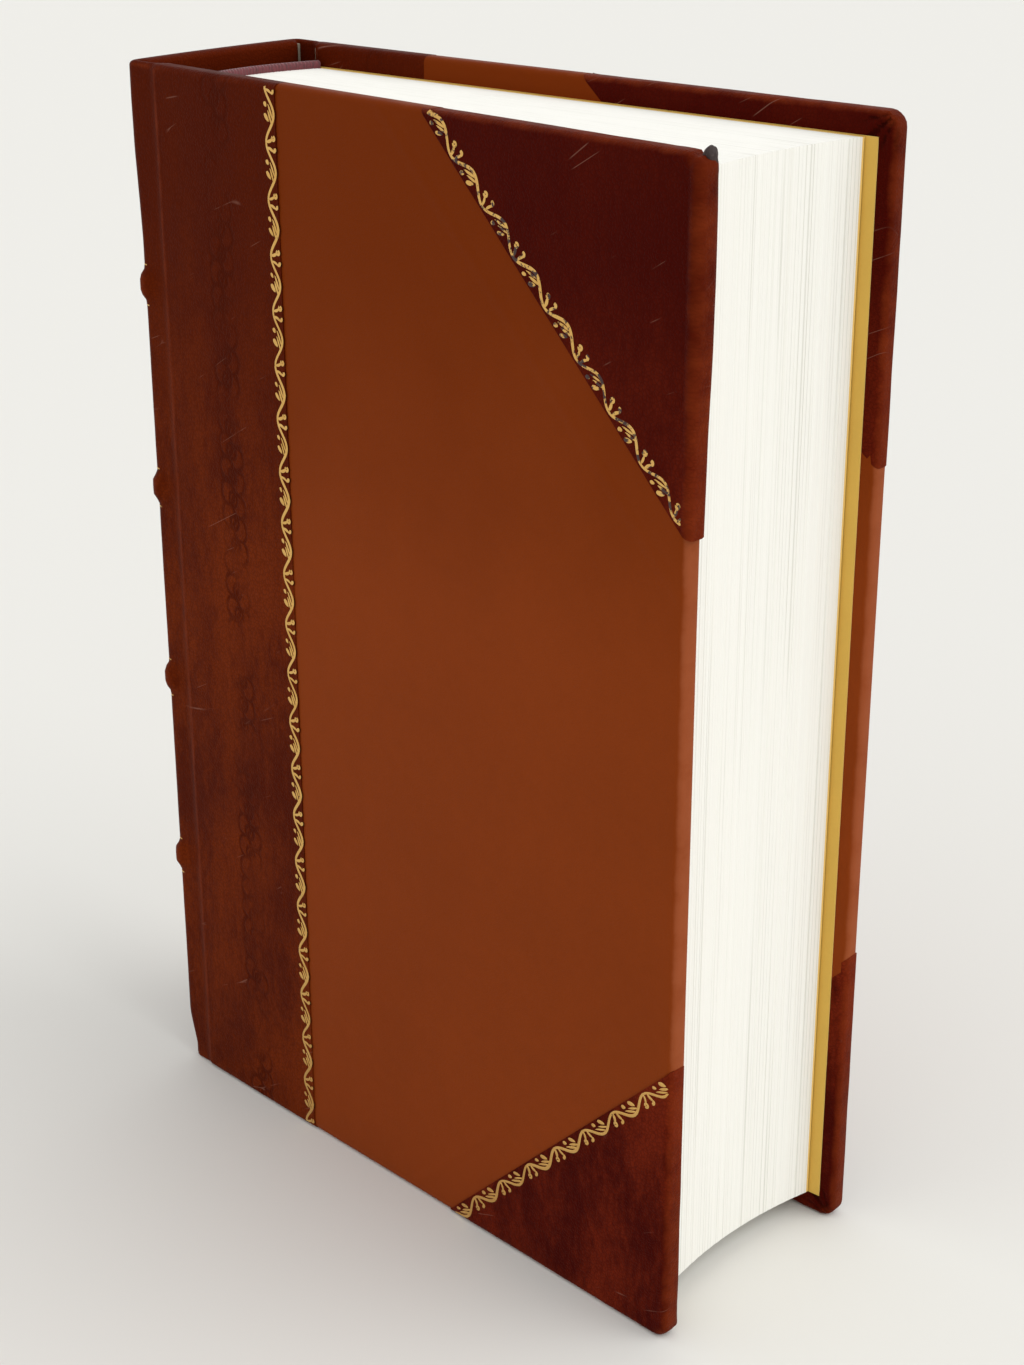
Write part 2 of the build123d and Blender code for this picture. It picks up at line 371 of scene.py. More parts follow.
def grain_group():
    """Height of fine leather grain: small pebbles, creases between them and pores."""
    tree, w, given, result = new_group("Leather grain", [
        ("Vector", "Vector", None), ("Pebble", "Float", 0.0009)], [("Height", "Float"), ("Creases", "Float")])
    scale = w.math("DIVIDE", 1.0, given["Pebble"])
    warp = w.add("ShaderNodeTexNoise", inputs={
        "Vector": given["Vector"], "Scale": w.math("MULTIPLY", scale, 0.4)})
    shift = w.add("ShaderNodeVectorMath", operation="MULTIPLY_ADD",
                  inputs={0: warp.outputs["Color"], 1: (0.0012,) * 3, 2: given["Vector"]}).outputs[0]
    cells = w.add("ShaderNodeTexVoronoi", feature="F2", inputs={
        "Vector": shift, "Scale": scale}).outputs["Distance"]
    near = w.add("ShaderNodeTexVoronoi", feature="F1", inputs={
        "Vector": shift, "Scale": scale}).outputs["Distance"]
    crease = w.ramp(w.math("SUBTRACT", cells, near), 0.0, 0.35)
    fine = w.add("ShaderNodeTexNoise", inputs={
        "Vector": given["Vector"], "Scale": w.math("MULTIPLY", scale, 2.5), "Detail": 3.0}).outputs["Fac"]
    height = w.math("ADD", w.math("MULTIPLY", crease, 0.7), w.math("MULTIPLY", fine, 0.5))
    w.feed(result["Height"], height)
    w.feed(result["Creases"], w.math("SUBTRACT", 1.0, crease))
    return tree


def rub_group():
    """Blend towards a worn tone where a wear value is high, in broken patches."""
    tree, w, given, result = new_group("Edge rub", [
        ("Vector", "Vector", None), ("Wear", "Float", 0.0), ("Base", "Color", None),
        ("Rubbed", "Color", None), ("Strength", "Float", 1.0)], [("Color", "Color"), ("Mask", "Float")])
    patch = w.noise(given["Vector"], 0.006, 4.0, 0.65)
    uneven = w.math("ADD", given["Wear"], w.math("MULTIPLY", w.math("SUBTRACT", patch, 0.5), 0.9))
    mask = w.math("MULTIPLY", w.ramp(uneven, 0.25, 0.95), given["Strength"])
    w.feed(result["Color"], w.blend(mask, given["Base"], given["Rubbed"]))
    w.feed(result["Mask"], mask)
    return tree


def blind_roll_group():
    """Faint ornament rolled into leather without gold: rows of loops in a band."""
    tree, w, given, result = new_group("Blind roll", [
        ("Vector", "Vector", None), ("Place", "Float", 0.019), ("Half Width", "Float", 0.0042),
        ("Pitch", "Float", 0.0051)], [("Mask", "Float")])
    parts = w.add("ShaderNodeSeparateXYZ", inputs={0: given["Vector"]}).outputs
    jitter = w.math("MULTIPLY", w.math("SUBTRACT", w.noise(given["Vector"], 0.004), 0.5), 0.35)
    across = w.math("DIVIDE", w.math("SUBTRACT", parts["X"], given["Place"]), given["Half Width"])
    along = w.math("DIVIDE", parts["Z"], given["Pitch"])
    loops = []
    for offset, drift, radius in ((0.0, -0.42, 0.50), (0.5, 0.42, 0.50), (0.25, 0.0, 0.30)):
        cell = w.math("SUBTRACT", w.math("FRACT", w.math("ADD", along, offset)), 0.5)
        side = w.math("SUBTRACT", across, drift)
        reach = w.math("SQRT", w.math("ADD", w.math("POWER", cell, 2.0), w.math("POWER", side, 2.0)))
        gap = w.math("ABSOLUTE", w.math("SUBTRACT", w.math("ADD", reach, jitter), radius))
        loops.append(w.ramp(gap, 0.04, 0.16, 1.0, 0.0))
    lines = w.math("MAXIMUM", w.math("MAXIMUM", loops[0], loops[1]), loops[2])
    within = w.ramp(w.math("ABSOLUTE", across), 0.75, 1.25, 1.0, 0.0)
    worn = w.ramp(w.noise(given["Vector"], 0.012), 0.35, 0.62)
    w.feed(result["Mask"], w.math("MULTIPLY", w.math("MULTIPLY", lines, within), worn))
    return tree


def fibre_group():
    """Soft paper or board fibres: a height and a tone mask."""
    tree, w, given, result = new_group("Fibres", [
        ("Vector", "Vector", None), ("Size", "Float", 0.0006)], [("Height", "Float"), ("Mask", "Float")])
    scale = w.math("DIVIDE", 1.0, given["Size"])
    fine = w.add("ShaderNodeTexNoise", inputs={
        "Vector": given["Vector"], "Scale": scale, "Detail": 5.0, "Roughness": 0.7}).outputs["Fac"]
    broad = w.add("ShaderNodeTexNoise", inputs={
        "Vector": given["Vector"], "Scale": w.math("MULTIPLY", scale, 0.06), "Detail": 2.0}).outputs["Fac"]
    w.feed(result["Height"], fine)
    w.feed(result["Mask"], w.math("ADD", w.math("MULTIPLY", fine, 0.4), w.math("MULTIPLY", broad, 0.6)))
    return tree


def scratch_group():
    """Sparse fine scratches lying across the leather."""
    tree, w, given, result = new_group("Scratches", [
        ("Vector", "Vector", None), ("Size", "Float", 0.02)], [("Mask", "Float")])
    scale = w.math("DIVIDE", 1.0, given["Size"])
    turned = w.add("ShaderNodeVectorRotate", rotation_type="Y_AXIS", inputs={
        "Vector": given["Vector"], "Angle": math.radians(28)}).outputs[0]
    long_cells = w.stretched(turned, 0.35, 1.0, 3.2)
    lines = w.add("ShaderNodeTexVoronoi", feature="DISTANCE_TO_EDGE", inputs={
        "Vector": long_cells, "Scale": scale}).outputs["Distance"]
    few = w.ramp(w.noise(given["Vector"], 0.011, 2.0), 0.60, 0.68)
    w.feed(result["Mask"], w.math("MULTIPLY", w.ramp(lines, 0.0, 0.012, 1.0, 0.0), few))
    return tree


EFFECTS = {"mottle": mottle_group, "grain": grain_group, "rub": rub_group, "blind": blind_roll_group,
           "fibres": fibre_group, "scratches": scratch_group}


def effect(name):
    """Shared effect of that name, built the first time it is asked for."""
    key = "book " + name
    if key not in bpy.data.node_groups:
        EFFECTS[name]().name = key
    return bpy.data.node_groups[key]


def new_material(name):
    """Material with a Principled shader. Returns it with its wiring and the shader's inputs."""
    material = bpy.data.materials.new(name)
    material.use_nodes = True
    wiring = Wiring(material.node_tree)
    shader = material.node_tree.nodes["Principled BSDF"]
    return material, wiring, shader.inputs


def flat_place(w, name="flat"):
    """Rest place (s, n, z) stored on a mesh."""
    return w.add("ShaderNodeAttribute", attribute_name=name).outputs["Vector"]


def stored(w, name):
    """Value stored on a mesh under that name."""
    return w.add("ShaderNodeAttribute", attribute_name=name).outputs["Fac"]


def bump(w, height, distance, strength=1.0, normal=None):
    """Normal bent by a height, on top of another normal if given."""
    inputs = {"Height": height, "Distance": distance, "Strength": strength}
    if normal is not None:
        inputs["Normal"] = normal
    return w.add("ShaderNodeBump", inputs=inputs).outputs["Normal"]


def shaded_towards_head(w, place, tone, dark, strength):
    """Tone that darkens towards the head: painted shade for the dimmer light on the upper covers."""
    height = w.add("ShaderNodeSeparateXYZ", inputs={0: place}).outputs["Z"]
    uneven = w.math("ADD", height, w.math("MULTIPLY", w.math("SUBTRACT", w.noise(place, 0.03), 0.5), 0.06))
    return w.blend(w.ramp(uneven, 0.12, 0.215, 0.0, strength), tone, dark)


def dull_sheen(shader, level, tint):
    """Low, warm sheen of waxed leather."""
    shader["IOR"].default_value = WAXED_IOR
    shader["Specular IOR Level"].default_value = level
    shader["Specular Tint"].default_value = tint


def leather_material(name, light, dark, with_blind_roll):
    """Calf leather with grain, stain patches, rubbed edges, dark band lines and painted shade in creases,
    pleats and at the head.
    """
    if name in bpy.data.materials:
        return bpy.data.materials[name]
    material, w, shader = new_material(name)
    place = flat_place(w)
    tones = w.use(effect("mottle"), Vector=w.stretched(place, 1.0, 1.0, 0.45), Size=0.022,
                  Light=light, Dark=dark, Contrast=1.15)
    grain = w.use(effect("grain"), Vector=place, Pebble=0.0008)
    # painted shade: darker towards the head
    head_shaded = shaded_towards_head(w, place, tones["Color"], dark, 0.85)
    # painted shade in the grain creases
    crease_shaded = w.blend(w.math("MULTIPLY", grain["Creases"], 0.35), head_shaded, darker(dark, 0.7))
    # dark lines beside the bands, and on the corners painted shade in the pleat valleys
    dark_lines_and_shade = w.ramp(w.math("ADD", stored(w, "dark_lines_and_shade"),
                           w.math("MULTIPLY", w.math("SUBTRACT", w.noise(place, 0.002), 0.5), 0.5)), 0.2, 0.9)
    lines_and_shade_darkened = w.blend(w.math("MULTIPLY", dark_lines_and_shade, 0.62), crease_shaded, (0.012, 0.0012, 0.0008, 1))
    rubbed = w.use(effect("rub"), Vector=place, Wear=stored(w, "wear"), Base=lines_and_shade_darkened,
                   Rubbed=tuple(colours().rubbed), Strength=0.75)
    base = rubbed["Color"]
    height = grain["Height"]
    if with_blind_roll:
        roll = w.use(effect("blind"), Vector=place, Place=sizes().blind_place)
        base = w.blend(w.math("MULTIPLY", roll["Mask"], 0.8), base, darker(dark, 0.75))
        height = w.math("SUBTRACT", height, w.math("MULTIPLY", roll["Mask"], 0.9))
    marks = w.use(effect("scratches"), Vector=place)
    base = w.blend(w.math("MULTIPLY", marks["Mask"], 0.5), base, (0.30, 0.14, 0.10, 1))
    w.feed(shader["Base Color"], base)
    w.feed(shader["Roughness"], w.ramp(tones["Mask"], 0.0, 1.0, 0.42, 0.54))
    w.feed(shader["Normal"], bump(w, height, 0.00009, 0.8))
    dull_sheen(shader, 0.06, (1.0, 0.42, 0.20, 1))
    return material


def spine_leather_material():
    """Red-brown calf with the blind roll."""
    return leather_material("spine_leather_finish", tuple(colours().leather),
                            tuple(colours().leather_dark), True)


def corner_leather_material():
    """Darker calf, without the roll."""
    return leather_material("corner_leather_finish", tuple(colours().corner),
                            tuple(colours().corner_dark), False)


def side_material():
    """Smooth bonded leather with a faint pressed grain."""
    if "side_panel_finish" in bpy.data.materials:
        return bpy.data.materials["side_panel_finish"]
    material, w, shader = new_material("side_panel_finish")
    place = flat_place(w)
    second = darker(colours().side, 0.90)
    tones = w.use(effect("mottle"), Vector=place, Size=0.05, Light=tuple(colours().side),
                  Dark=second, Contrast=0.7)
    grain = w.use(effect("grain"), Vector=place, Pebble=0.0005)
    # painted shade: darker towards the head
    head_shaded = shaded_towards_head(w, place, tones["Color"], tuple(colours().side_painted_shade), 0.75)
    rubbed = w.use(effect("rub"), Vector=place, Wear=stored(w, "wear"), Base=head_shaded,
                   Rubbed=(0.36, 0.10, 0.04, 1), Strength=0.6)
    w.feed(shader["Base Color"], rubbed["Color"])
    w.feed(shader["Roughness"], w.ramp(tones["Mask"], 0.0, 1.0, 0.40, 0.46))
    under = w.ramp(w.math("ABSOLUTE", w.math("SUBTRACT", stored(w, "under"), 0.0085)), 0.0, 0.0022, 1.0, 0.0)
    raised = bump(w, under, 0.00012, 0.8)
    w.feed(shader["Normal"], bump(w, grain["Height"], 0.00003, 0.6, raised))
    dull_sheen(shader, 0.07, (1.0, 0.42, 0.16, 1))
    return material


def gold_material():
    """Gold leaf pressed into leather, broken and worn off in places."""
    if "gold_leaf_finish" in bpy.data.materials:
        return bpy.data.materials["gold_leaf_finish"]
    material, w, shader = new_material("gold_leaf_finish")
    place = flat_place(w)
    worn = w.math("ADD", w.noise(place, 0.0016, 3.0, 0.6), w.math("MULTIPLY", stored(w, "wear"), 0.20))
    kept = w.ramp(worn, 0.70, 0.78, 1.0, 0.0)
    tone = w.blend(w.noise(place, 0.003), tuple(colours().gold), (0.62, 0.34, 0.08, 1))
    w.feed(shader["Base Color"], w.blend(kept, (0.03, 0.004, 0.002, 1), tone))
    w.feed(shader["Metallic"], kept)
    w.feed(shader["Roughness"], w.ramp(w.noise(place, 0.0008), 0.3, 0.7, 0.26, 0.46))
    w.feed(shader["Normal"], bump(w, w.noise(place, 0.0004), 0.00003, 0.6))
    return material


def page_material():
    """Cut edges of many leaves, each a little lighter or darker, with painted shade in the gaps between
    gatherings.
    """
    material, w, shader = new_material("page_edge_finish")
    leaf = stored(w, "leaf")
    place = flat_place(w)
    fine = w.add("ShaderNodeTexNoise", noise_dimensions="1D", inputs={
        "W": leaf, "Scale": 420.0, "Detail": 1.0, "Roughness": 0.8}).outputs["Fac"]
    uneven = w.add("ShaderNodeTexNoise", noise_dimensions="1D", inputs={
        "W": leaf, "Scale": 30.0, "Detail": 2.0}).outputs["Fac"]
    drifting = w.math("ADD", w.math("MULTIPLY", leaf, 52.0), w.math("MULTIPLY", uneven, 1.6))
    gathering = w.math("FRACT", drifting)
    gap = w.ramp(w.math("ABSOLUTE", w.math("SUBTRACT", gathering, 0.5)), 0.0, 0.17, 1.0, 0.0)
    drift = w.noise(w.stretched(place, 1.0, 2.5, 0.15), 0.012, 2.0)
    marked = w.math("MULTIPLY", gap, w.ramp(drift, 0.36, 0.62, 0.15, 1.0))
    lines = w.math("ADD", marked, w.math("MULTIPLY", w.ramp(fine, 0.35, 0.6, 1.0, 0.0), 0.22))
    shade = w.math("MULTIPLY", lines, 0.8)
    tinted = w.blend(w.math("MULTIPLY", shade, stored(w, "lines")), tuple(colours().pages),
                     tuple(colours().page_line))
    w.feed(shader["Base Color"], tinted)
    w.feed(shader["Normal"], bump(w, w.math("SUBTRACT", 1.0, lines), 0.00006, 0.5))
    shader["Roughness"].default_value = 0.85
    shader["Specular IOR Level"].default_value = 0.2
    return material


def endpaper_material():
    """Mustard paper, paler on its cut edges."""
    if "endpaper_finish" in bpy.data.materials:
        return bpy.data.materials["endpaper_finish"]
    material, w, shader = new_material("endpaper_finish")
    place = w.add("ShaderNodeTexCoord").outputs["Object"]
    fibres = w.use(effect("fibres"), Vector=place, Size=0.0007)
    normal = w.add("ShaderNodeSeparateXYZ", inputs={
        0: w.add("ShaderNodeNewGeometry").outputs["True Normal"]}).outputs
    edge = w.ramp(w.math("ABSOLUTE", normal["Y"]), 0.4, 0.8, 1.0, 0.0)
    tone = w.blend(fibres["Mask"], darker(colours().endpaper, 0.8), tuple(colours().endpaper))
    w.feed(shader["Base Color"], w.blend(edge, tone, tuple(colours().endpaper_edge)))
    w.feed(shader["Normal"], bump(w, fibres["Height"], 0.00003, 0.5))
    shader["Roughness"].default_value = 0.8
    shader["Specular IOR Level"].default_value = 0.25
    return material


def silk_material():
    """Maroon silk thread."""
    material, w, shader = new_material("headband_finish")
    place = flat_place(w)
    strands = w.noise(w.stretched(place, 1.0, 5.0, 1.0), 0.0012, 3.0)
    dark = darker(colours().headband, 0.45)
    w.feed(shader["Base Color"], w.blend(w.ramp(strands, 0.35, 0.65), dark, tuple(colours().headband)))
    w.feed(shader["Normal"], bump(w, strands, 0.00005, 0.8))
    shader["Roughness"].default_value = 0.55
    shader["Sheen Weight"].default_value = 0.3
    return material


def fibre_material(name, tone, size, roughness):
    """Plain board or cloth with visible fibres, for pieces inside the book."""
    if name in bpy.data.materials:
        return bpy.data.materials[name]
    material, w, shader = new_material(name)
    place = w.add("ShaderNodeTexCoord").outputs["Object"]
    fibres = w.use(effect("fibres"), Vector=place, Size=size)
    w.feed(shader["Base Color"], w.blend(w.ramp(fibres["Mask"], 0.35, 0.65), darker(tone, 0.65), tuple(tone)))
    w.feed(shader["Normal"], bump(w, fibres["Height"], 0.00008, 0.6))
    shader["Roughness"].default_value = roughness
    return material


def weave_material():
    """Open-weave cotton lining."""
    material, w, shader = new_material("lining_finish")
    place = w.add("ShaderNodeTexCoord").outputs["Object"]
    parts = w.add("ShaderNodeSeparateXYZ", inputs={0: place}).outputs
    threads = []
    for axis in ("Y", "Z"):
        wave = w.math("SINE", w.math("MULTIPLY", parts[axis], 2 * math.pi / 0.0011))
        threads.append(w.math("MULTIPLY", w.math("ADD", wave, 1.0), 0.5))
    weave = w.math("MAXIMUM", threads[0], threads[1])
    dark = darker(colours().lining, 0.55)
    w.feed(shader["Base Color"], w.blend(weave, dark, tuple(colours().lining)))
    w.feed(shader["Normal"], bump(w, weave, 0.0002, 0.8))
    shader["Roughness"].default_value = 0.9
    return material


# ---- Spine leather ----

def spine_profile(side):
    """Outer outline of one half of the spine leather, from mid-spine to the end of the flap.

    Each point is (x, depth, wrap, along): where it lies from the hinge line, how deep the leather
    turns in there at head and tail, and its distance along the outline.
    """
    size = sizes()
    middle = (size.shoulder_round - size.spine_depth, size.shoulder_inset + size.shoulder_round)
    points = []
    for step in range(26):
        share = step / 26
        x = -size.spine_depth - size.spine_crown * (1 - share ** 2)
        depth = HALF_SPACING + (middle[1] - HALF_SPACING) * share
        points.append((x, depth, size.spine_wrap))
    for step in range(8):
        angle = math.radians(90) * step / 7
        points.append((middle[0] - size.shoulder_round * math.cos(angle),
                       middle[1] - size.shoulder_round * math.sin(angle), (3.0 - 0.21 * step) * MM))
    joint_steps = 16
    for step in range(1, joint_steps + 1):
        x = middle[0] + (FLAP_START - middle[0]) * step / joint_steps
        wrap = 1.5 * MM + (size.thick - 1.5 * MM) * smooth(x, -2.6 * MM, 0.3 * MM)
        points.append((x, size.shoulder_inset * (1 - smooth(x, -2.4 * MM, 0.5 * MM)), wrap))
    flap = flap_width(side)
    flap_steps = round(flap / (1.4 * MM))
    for step in range(1, flap_steps + 1):
        s = FLAP_START + (flap - FLAP_START) * step / flap_steps
        points.append((s * math.cos(size.splay), -s * math.sin(size.splay), size.thick))
    profile = []
    along = 0.0
    for index, (x, depth, wrap) in enumerate(points):
        if index:
            along += math.dist(points[index - 1][:2], (x, depth))
        profile.append((x, depth, wrap, along))
    return profile


def profile_normal(profile, index):
    """Direction into the book, as (x, depth), at one point of a profile."""
    before = profile[max(index - 1, 0)]
    after = profile[min(index + 1, len(profile) - 1)]
    step = Vector((after[0] - before[0], after[1] - before[1])).normalized()
    if index == 0:
        return Vector((1, 0))
    return Vector((-step.y, step.x))


def band_swell(z):
    """Share of a raised band's full height at this level."""
    half = sizes().band_width / 2
    return max(1 - smooth(abs(z - level), 0.35 * half, half) for level in BAND_LEVELS)


def spine_shift(x, z):
    """How far the spine leans out at the head and draws in at the tail."""
    reach = smooth(-x, 2 * MM, 9 * MM)
    out = 1.0 * MM * smooth(z, 192 * MM, 216 * MM)
    drawn_in = 2.4 * MM * (1 - smooth(z, 0, 13 * MM))
    return reach * (drawn_in - out)


def leather_swell(s, z):
    """Soft unevenness of the laid leather, in metres."""
    place = (s, 0.0, z)
    return 0.07 * MM * wobble(place, 16 * MM, 3.0) + 0.025 * MM * wobble(place, 5 * MM, 8.0)


def wrapped_rows(wrap):
    """Path (inward, z, face) from inside the tail, over the outer face, to inside the head."""
    size = sizes()
    rounding = min(size.edge_round, 0.48 * wrap)
    face_steps = 210
    half = []
    for step in range(8):
        half.append((wrap, size.turn_in + (rounding - size.turn_in) * step / 8, 0.0))
    for step in range(4):
        angle = math.radians(90) * step / 4
        half.append((wrap - rounding + rounding * math.cos(angle),
                     rounding - rounding * math.sin(angle), 0.0))
    half.append((wrap - rounding, 0.0, 0.0))
    for step in range(5):
        angle = math.radians(90) * step / 5
        half.append((rounding - rounding * math.sin(angle), rounding - rounding * math.cos(angle), step / 5))
    upper = [(inward, COVER_HEIGHT - z, face) for inward, z, face in reversed(half)]
    span = COVER_HEIGHT - 2 * rounding
    face = [(0.0, rounding + span * step / face_steps, 1.0) for step in range(face_steps + 1)]
    return half + face + upper


def spine_half(side):
    """One half of the spine leather with its flap, as a single turned-in skin."""
    size = sizes()
    profile = spine_profile(side)
    hinge_along = next(point[3] for point in profile if point[0] > 0)
    columns, flats, wear, dark_lines_and_shade = [], [], [], []
    for index, (x, depth, wrap, along) in enumerate(profile):
        inward = profile_normal(profile, index)
        s = along - hinge_along
        column = []
        fade = 1 - smooth(x, -8.5 * MM, -3.5 * MM)
        for deep, z, face in wrapped_rows(wrap):
            swell = face * (leather_swell(s, z) + size.band_height * band_swell(z) * fade)
            offset = deep - swell
            place_x = x + inward.x * offset + spine_shift(x, z) * (1 - deep / wrap)
            column.append(beside_hinge(side, (place_x, depth + inward.y * offset, z)))
            flats.append((s, deep, z))
            rim = 1 - smooth(min(z, COVER_HEIGHT - z), 0.0, 2.4 * MM)
            # lighter line along the hinge ridge: partly rubbing, partly painted highlight
            ridge_rub_and_highlight = 0.6 * math.exp(-((s + 0.3 * MM) / (0.9 * MM)) ** 2)
            shoulder = 0.35 * math.exp(-((x + 8.4 * MM) / (0.7 * MM)) ** 2)
            crest = 0.7 * band_swell(z) * fade
            wear.append(face * max(0.7 * rim, ridge_rub_and_highlight, shoulder, crest))
            # dark line at the foot of each raised band
            beside = min(abs(abs(z - level) - 0.52 * size.band_width) for level in BAND_LEVELS)
            dark_lines_and_shade.append(0.6 * face * fade * math.exp(-(beside / (0.7 * MM)) ** 2))
        columns.append(column)
    mesh = grid_mesh(columns)
    if side == "back":
        mesh.flip_normals()
    set_attribute(mesh, "flat", flats, "FLOAT_VECTOR")
    set_attribute(mesh, "wear", wear)
    set_attribute(mesh, "dark_lines_and_shade", dark_lines_and_shade)
    return thickened(mesh, size.leather)


# ---- Corners and side panels ----

def covered_plate(start, drop):
    """Closed plate of a covered board in (s, n, z), open towards the spine, with soft edges."""
    size = sizes()
    high, width = COVER_HEIGHT, size.width
    corners = [(s, n, z) for s in (start, width) for n in (drop, size.thick) for z in (0.0, high)]
    bm = bmesh.new()
    verts = [bm.verts.new(corner) for corner in corners]
    for loop in ((0, 1, 3, 2), (4, 6, 7, 5), (0, 4, 5, 1), (2, 3, 7, 6), (0, 2, 6, 4), (1, 5, 7, 3)):
        bm.faces.new([verts[index] for index in loop])
    bmesh.ops.recalc_face_normals(bm, faces=bm.faces[:])
    upright = [edge for edge in bm.edges if all(vert.co.x > width - SAME for vert in edge.verts)
               and abs(edge.verts[0].co.z - edge.verts[1].co.z) < SAME]
    bmesh.ops.bevel(bm, geom=upright, offset=size.corner_round, segments=5, profile=0.5, affect="EDGES")
    rims = [edge for edge in bm.edges if abs(edge.verts[0].co.y - edge.verts[1].co.y) < 1e-7
            and not all(vert.co.x < start + SAME for vert in edge.verts)]
    bmesh.ops.bevel(bm, geom=rims, offset=size.edge_round, segments=4, profile=0.5, affect="EDGES")
    open_end = [face for face in bm.faces if all(vert.co.x < start + SAME for vert in face.verts)]
    bmesh.ops.delete(bm, geom=open_end, context="FACES")
    return bm


def cut(bm, place, direction, clear=False):
    """Slice through a plane, and drop what lies beyond it if asked."""
    bmesh.ops.bisect_plane(bm, geom=bm.verts[:] + bm.edges[:] + bm.faces[:], plane_co=place,
                           plane_no=direction, clear_outer=clear, dist=1e-7)


def corner_line(side, end):
    """Point on the slanting edge of a leather corner and the direction towards the corner's tip."""
    along_end, along_edge = corner_legs(side, end)
    level = end_level(end)
    up = 1 if end == "head" else -1
    place = Vector((sizes().width - along_end, 0, level))
    direction = Vector((along_edge, 0, up * along_end)).normalized()
    return place, direction


def slice_grid(bm, spacing, low, high):
    """Slice a plate into a grid between two corners, so that it can be shaped softly."""
    for axis, direction in ((0, (1, 0, 0)), (2, (0, 0, 1))):
        count = max(2, round((high[axis] - low[axis]) / spacing))
        for step in range(1, count):
            place = Vector()
            place[axis] = low[axis] + (high[axis] - low[axis]) * step / count
            cut(bm, place, direction)


def open_inside(bm):
    """Remove the inner face of a plate beyond the turned-in margin."""
    size = sizes()
    cut(bm, (size.width - size.turn_in, 0, 0), (1, 0, 0))
    cut(bm, (0, 0, size.turn_in), (0, 0, 1))
    cut(bm, (0, 0, COVER_HEIGHT - size.turn_in), (0, 0, 1))
    hidden = []
    for face in bm.faces:
        middle = face.calc_center_median()
        inner = middle.y > size.thick - SAME
        beyond = size.turn_in < middle.z < COVER_HEIGHT - size.turn_in
        if inner and beyond and middle.x < size.width - size.turn_in:
            hidden.append(face)
    bmesh.ops.delete(bm, geom=hidden, context="FACES")


def plate_mesh(bm, side, shape, wear, dark_lines_and_shade=None):
    """Mesh in the book of a shaped plate. shape gives how far a vertex moves out along its normal."""
    bm.normal_update()
    places = [vert.co.copy() for vert in bm.verts]
    moved = [vert.co + vert.normal * shape(vert.co) for vert in bm.verts]
    for vert, place in zip(bm.verts, moved):
        vert.co = on_cover(side, place)
    if side == "back":
        bmesh.ops.reverse_faces(bm, faces=bm.faces[:])
    mesh = bpy.data.meshes.new("plate")
    bm.to_mesh(mesh)
    bm.free()
    set_attribute(mesh, "flat", places, "FLOAT_VECTOR")
    set_attribute(mesh, "wear", [wear(place) for place in places])
    if dark_lines_and_shade:
        set_attribute(mesh, "dark_lines_and_shade", [dark_lines_and_shade(place) for place in places])
    return mesh


def edge_distance(place):
    """Distance of a place on a cover from the nearest board edge."""
    return max(0.0, min(sizes().width - place.x, place.z, COVER_HEIGHT - place.z))


def pleats(place, end):
    """Height of the gathered folds where the leather is turned in round a corner."""
    size = sizes()
    level = end_level(end)
    across, along = size.width - place.x, abs(level - place.z)
    reach = math.hypot(across, along)
    inner = smooth(place.y, 0.45 * size.thick, 0.95 * size.thick)
    angle = math.atan2(along, across)
    folds = math.sin(angle * 15 + 1.5 * wobble(place, 3 * MM))
    mitre = math.exp(-((angle - math.radians(45)) / 0.12) ** 2)
    near = (1 - smooth(reach, 3 * MM, 11 * MM)) * inner
    return near * (0.16 * MM * folds - 0.25 * MM * mitre)


def corner_shell(side, end):
    """Leather corner of a cover, turned in over the head or tail and the fore-edge."""
    size = sizes()
    along_end, along_edge = corner_legs(side, end)
    bm = covered_plate(size.width - along_end - 6 * MM, 0.0)
    place, direction = corner_line(side, end)
    cut(bm, place, -direction, clear=True)
    low = (size.width - along_end, 0, COVER_HEIGHT - along_edge if end == "head" else 0.0)
    high = (size.width, 0, COVER_HEIGHT if end == "head" else along_edge)
    slice_grid(bm, 2.2 * MM, low, high)
    tip_low = (size.width - 11 * MM, 0, COVER_HEIGHT - 11 * MM if end == "head" else 0.0)
    tip_high = (size.width, 0, COVER_HEIGHT if end == "head" else 11 * MM)
    slice_grid(bm, 0.7 * MM, tip_low, tip_high)
    open_inside(bm)

    folded = size.proud if (side, end) == ("front", "head") else 0.1 * size.proud
    fold_end = COVER_HEIGHT - along_edge if end == "head" else along_edge

    def shape(spot):
        fuller = 0.55 + 0.45 * smooth(abs(spot.z - fold_end), 0.0, 45 * MM)
        fore_edge = folded * fuller * smooth(spot.x, size.width - 1.2 * MM, size.width)
        return leather_swell(spot.x, spot.z) + pleats(spot, end) + fore_edge

    def wear(spot):
        level = end_level(end)
        tip = math.hypot(size.width - spot.x, level - spot.z)
        along_rim = 0.62 * (1 - smooth(edge_distance(spot), 0.0, 2 * MM))
        return max(along_rim, 0.6 * (1 - smooth(tip, 1 * MM, 6 * MM)))

    # painted shade in the valleys of the pleats
    def dark_lines_and_shade(spot):
        return min(1.0, max(0.0, -pleats(spot, end) / (0.14 * MM)))

    mesh = plate_mesh(bm, side, shape, wear, dark_lines_and_shade)
    return thickened(mesh, size.leather)


